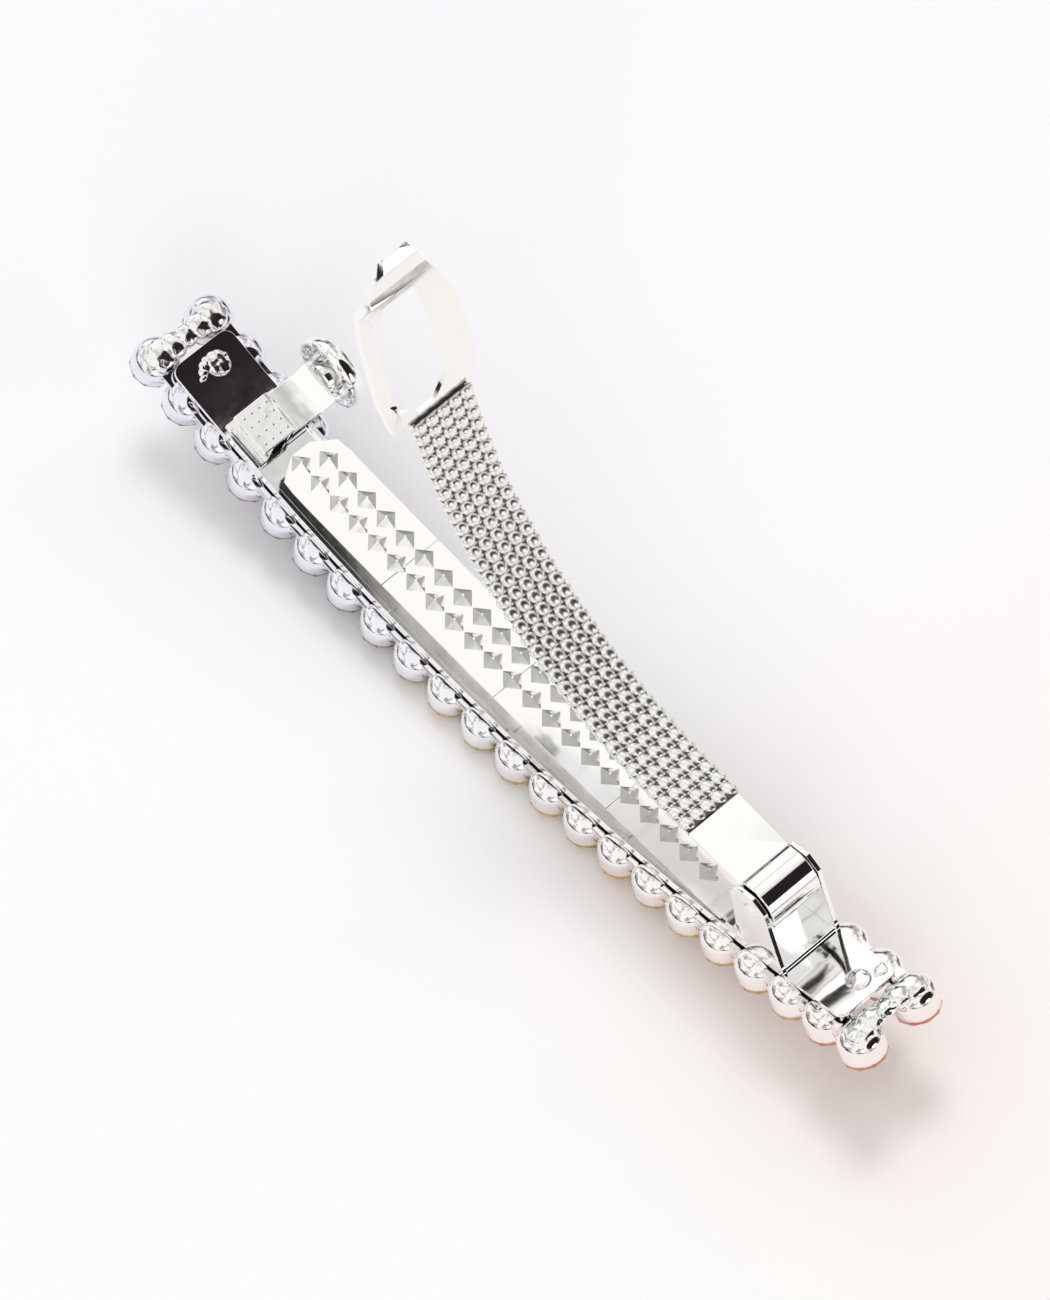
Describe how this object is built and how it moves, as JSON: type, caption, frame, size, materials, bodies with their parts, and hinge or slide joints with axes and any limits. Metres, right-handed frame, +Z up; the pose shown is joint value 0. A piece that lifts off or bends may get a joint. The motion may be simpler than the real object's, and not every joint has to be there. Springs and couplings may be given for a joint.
{
  "type": "hair barrette",
  "caption": "Automatic hair barrette: curved bar of set stones with a hinged spring arm, a bow spring and a snap catch with a push release.",
  "frame": {"origin": "on the table of the lowest stones, midway along the clip and midway between the two rows, which is where the clip rests", "axes": "+X along the clip to the hinge end, +Y across it to the side of the release button, +Z up and out of the clip's back"},
  "size_m": [0.0934, 0.0134, 0.062],
  "materials": {
    "plated_steel": "bright plated, mirror gloss",
    "setting": "bright plated cups, mirror gloss",
    "woven_cover": "bright plated weave",
    "solder": "lumpy bright tin solder",
    "stone": "faceted, with an iridescent coating that goes from lavender to gold along the clip"
  },
  "bodies": {
    "base": {"stone_setting_near": "setting", "stone_setting_far": "setting", "stones_near": "stone", "stones_far": "stone", "base_strip": "plated_steel", "tab_rivet_latch": "solder", "tab_rivet_hinge": "solder", "end_bridge_latch": "solder", "end_bridge_hinge": "solder", "hinge_pin": "plated_steel", "bow_anchor": "plated_steel", "catch_foot": "plated_steel"},
    "arm_root": {"arm_root": "plated_steel"},
    "arm_link_1": {"arm_strip_1": "plated_steel", "arm_cover_1": "woven_cover"},
    "arm_link_2": {"arm_strip_2": "plated_steel", "arm_cover_2": "woven_cover"},
    "arm_link_3": {"arm_strip_3": "plated_steel", "arm_cover_3": "woven_cover"},
    "arm_link_4": {"arm_strip_4": "plated_steel", "arm_cover_4": "woven_cover"},
    "arm_link_5": {"arm_strip_5": "plated_steel", "arm_cover_5": "woven_cover", "arm_ring": "plated_steel"},
    "bow_1": {"bow_spring_1": "plated_steel"},
    "bow_2": {"bow_spring_2": "plated_steel"},
    "bow_3": {"bow_spring_3": "plated_steel"},
    "bow_4": {"bow_spring_4": "plated_steel"},
    "catch": {"catch_leaf": "plated_steel", "catch_button": "plated_steel"}
  },
  "joints": [
    {"name": "arm_hinge", "type": "hinge", "parent": "base", "child": "arm_root", "pos_m": [0.0307, 0, 0.0148], "axis": [0, 1, 0], "range_deg": [-13.15, 0]},
    {"name": "arm_flex_1", "type": "hinge", "parent": "arm_root", "child": "arm_link_1", "pos_m": [0.02282, 0, 0.01659], "axis": [0, 1, 0], "range_deg": [-14.19, 0]},
    {"name": "arm_flex_2", "type": "hinge", "parent": "arm_link_1", "child": "arm_link_2", "pos_m": [0.01368, 0, 0.01762], "axis": [0, 1, 0], "range_deg": [-12.3, 0]},
    {"name": "arm_flex_3", "type": "hinge", "parent": "arm_link_2", "child": "arm_link_3", "pos_m": [0.00515, 0, 0.02104], "axis": [0, 1, 0], "range_deg": [-9.46, 0]},
    {"name": "arm_flex_4", "type": "hinge", "parent": "arm_link_3", "child": "arm_link_4", "pos_m": [-0.00218, 0, 0.02659], "axis": [0, 1, 0], "range_deg": [-6.63, 0]},
    {"name": "arm_flex_5", "type": "hinge", "parent": "arm_link_4", "child": "arm_link_5", "pos_m": [-0.00778, 0, 0.03389], "axis": [0, 1, 0], "range_deg": [-4.74, 0]},
    {"name": "bow_flex_1", "type": "hinge", "parent": "base", "child": "bow_1", "pos_m": [0.02635, 0, 0.00818], "axis": [0, 1, 0], "range_deg": [-12.11, 0]},
    {"name": "bow_flex_2", "type": "hinge", "parent": "bow_1", "child": "bow_2", "pos_m": [0.01327, 0, 0.00846], "axis": [0, 1, 0], "range_deg": [0, 7.37]},
    {"name": "bow_flex_3", "type": "hinge", "parent": "bow_2", "child": "bow_3", "pos_m": [-0.00087, 0, 0.00887], "axis": [0, 1, 0], "range_deg": [0, 4.91]},
    {"name": "bow_flex_4", "type": "hinge", "parent": "bow_3", "child": "bow_4", "pos_m": [-0.01498, 0, 0.00974], "axis": [0, 1, 0], "range_deg": [0, 4.91]},
    {"name": "catch_press", "type": "slide", "parent": "base", "child": "catch", "axis": [0, 1, 0], "range_m": [-0.0005, 0], "stiffness_N_per_m": 400}
  ],
  "couplings": [
    {"joint": "arm_flex_1", "follows": "arm_hinge", "ratio": 1.0785},
    {"joint": "arm_flex_2", "follows": "arm_hinge", "ratio": 0.9347},
    {"joint": "arm_flex_3", "follows": "arm_hinge", "ratio": 0.719},
    {"joint": "arm_flex_4", "follows": "arm_hinge", "ratio": 0.5033},
    {"joint": "arm_flex_5", "follows": "arm_hinge", "ratio": 0.3595},
    {"joint": "bow_flex_1", "follows": "arm_hinge", "ratio": 0.9204},
    {"joint": "bow_flex_2", "follows": "arm_hinge", "ratio": -0.5594},
    {"joint": "bow_flex_3", "follows": "arm_hinge", "ratio": -0.3726},
    {"joint": "bow_flex_4", "follows": "arm_hinge", "ratio": -0.3728}
  ]
}
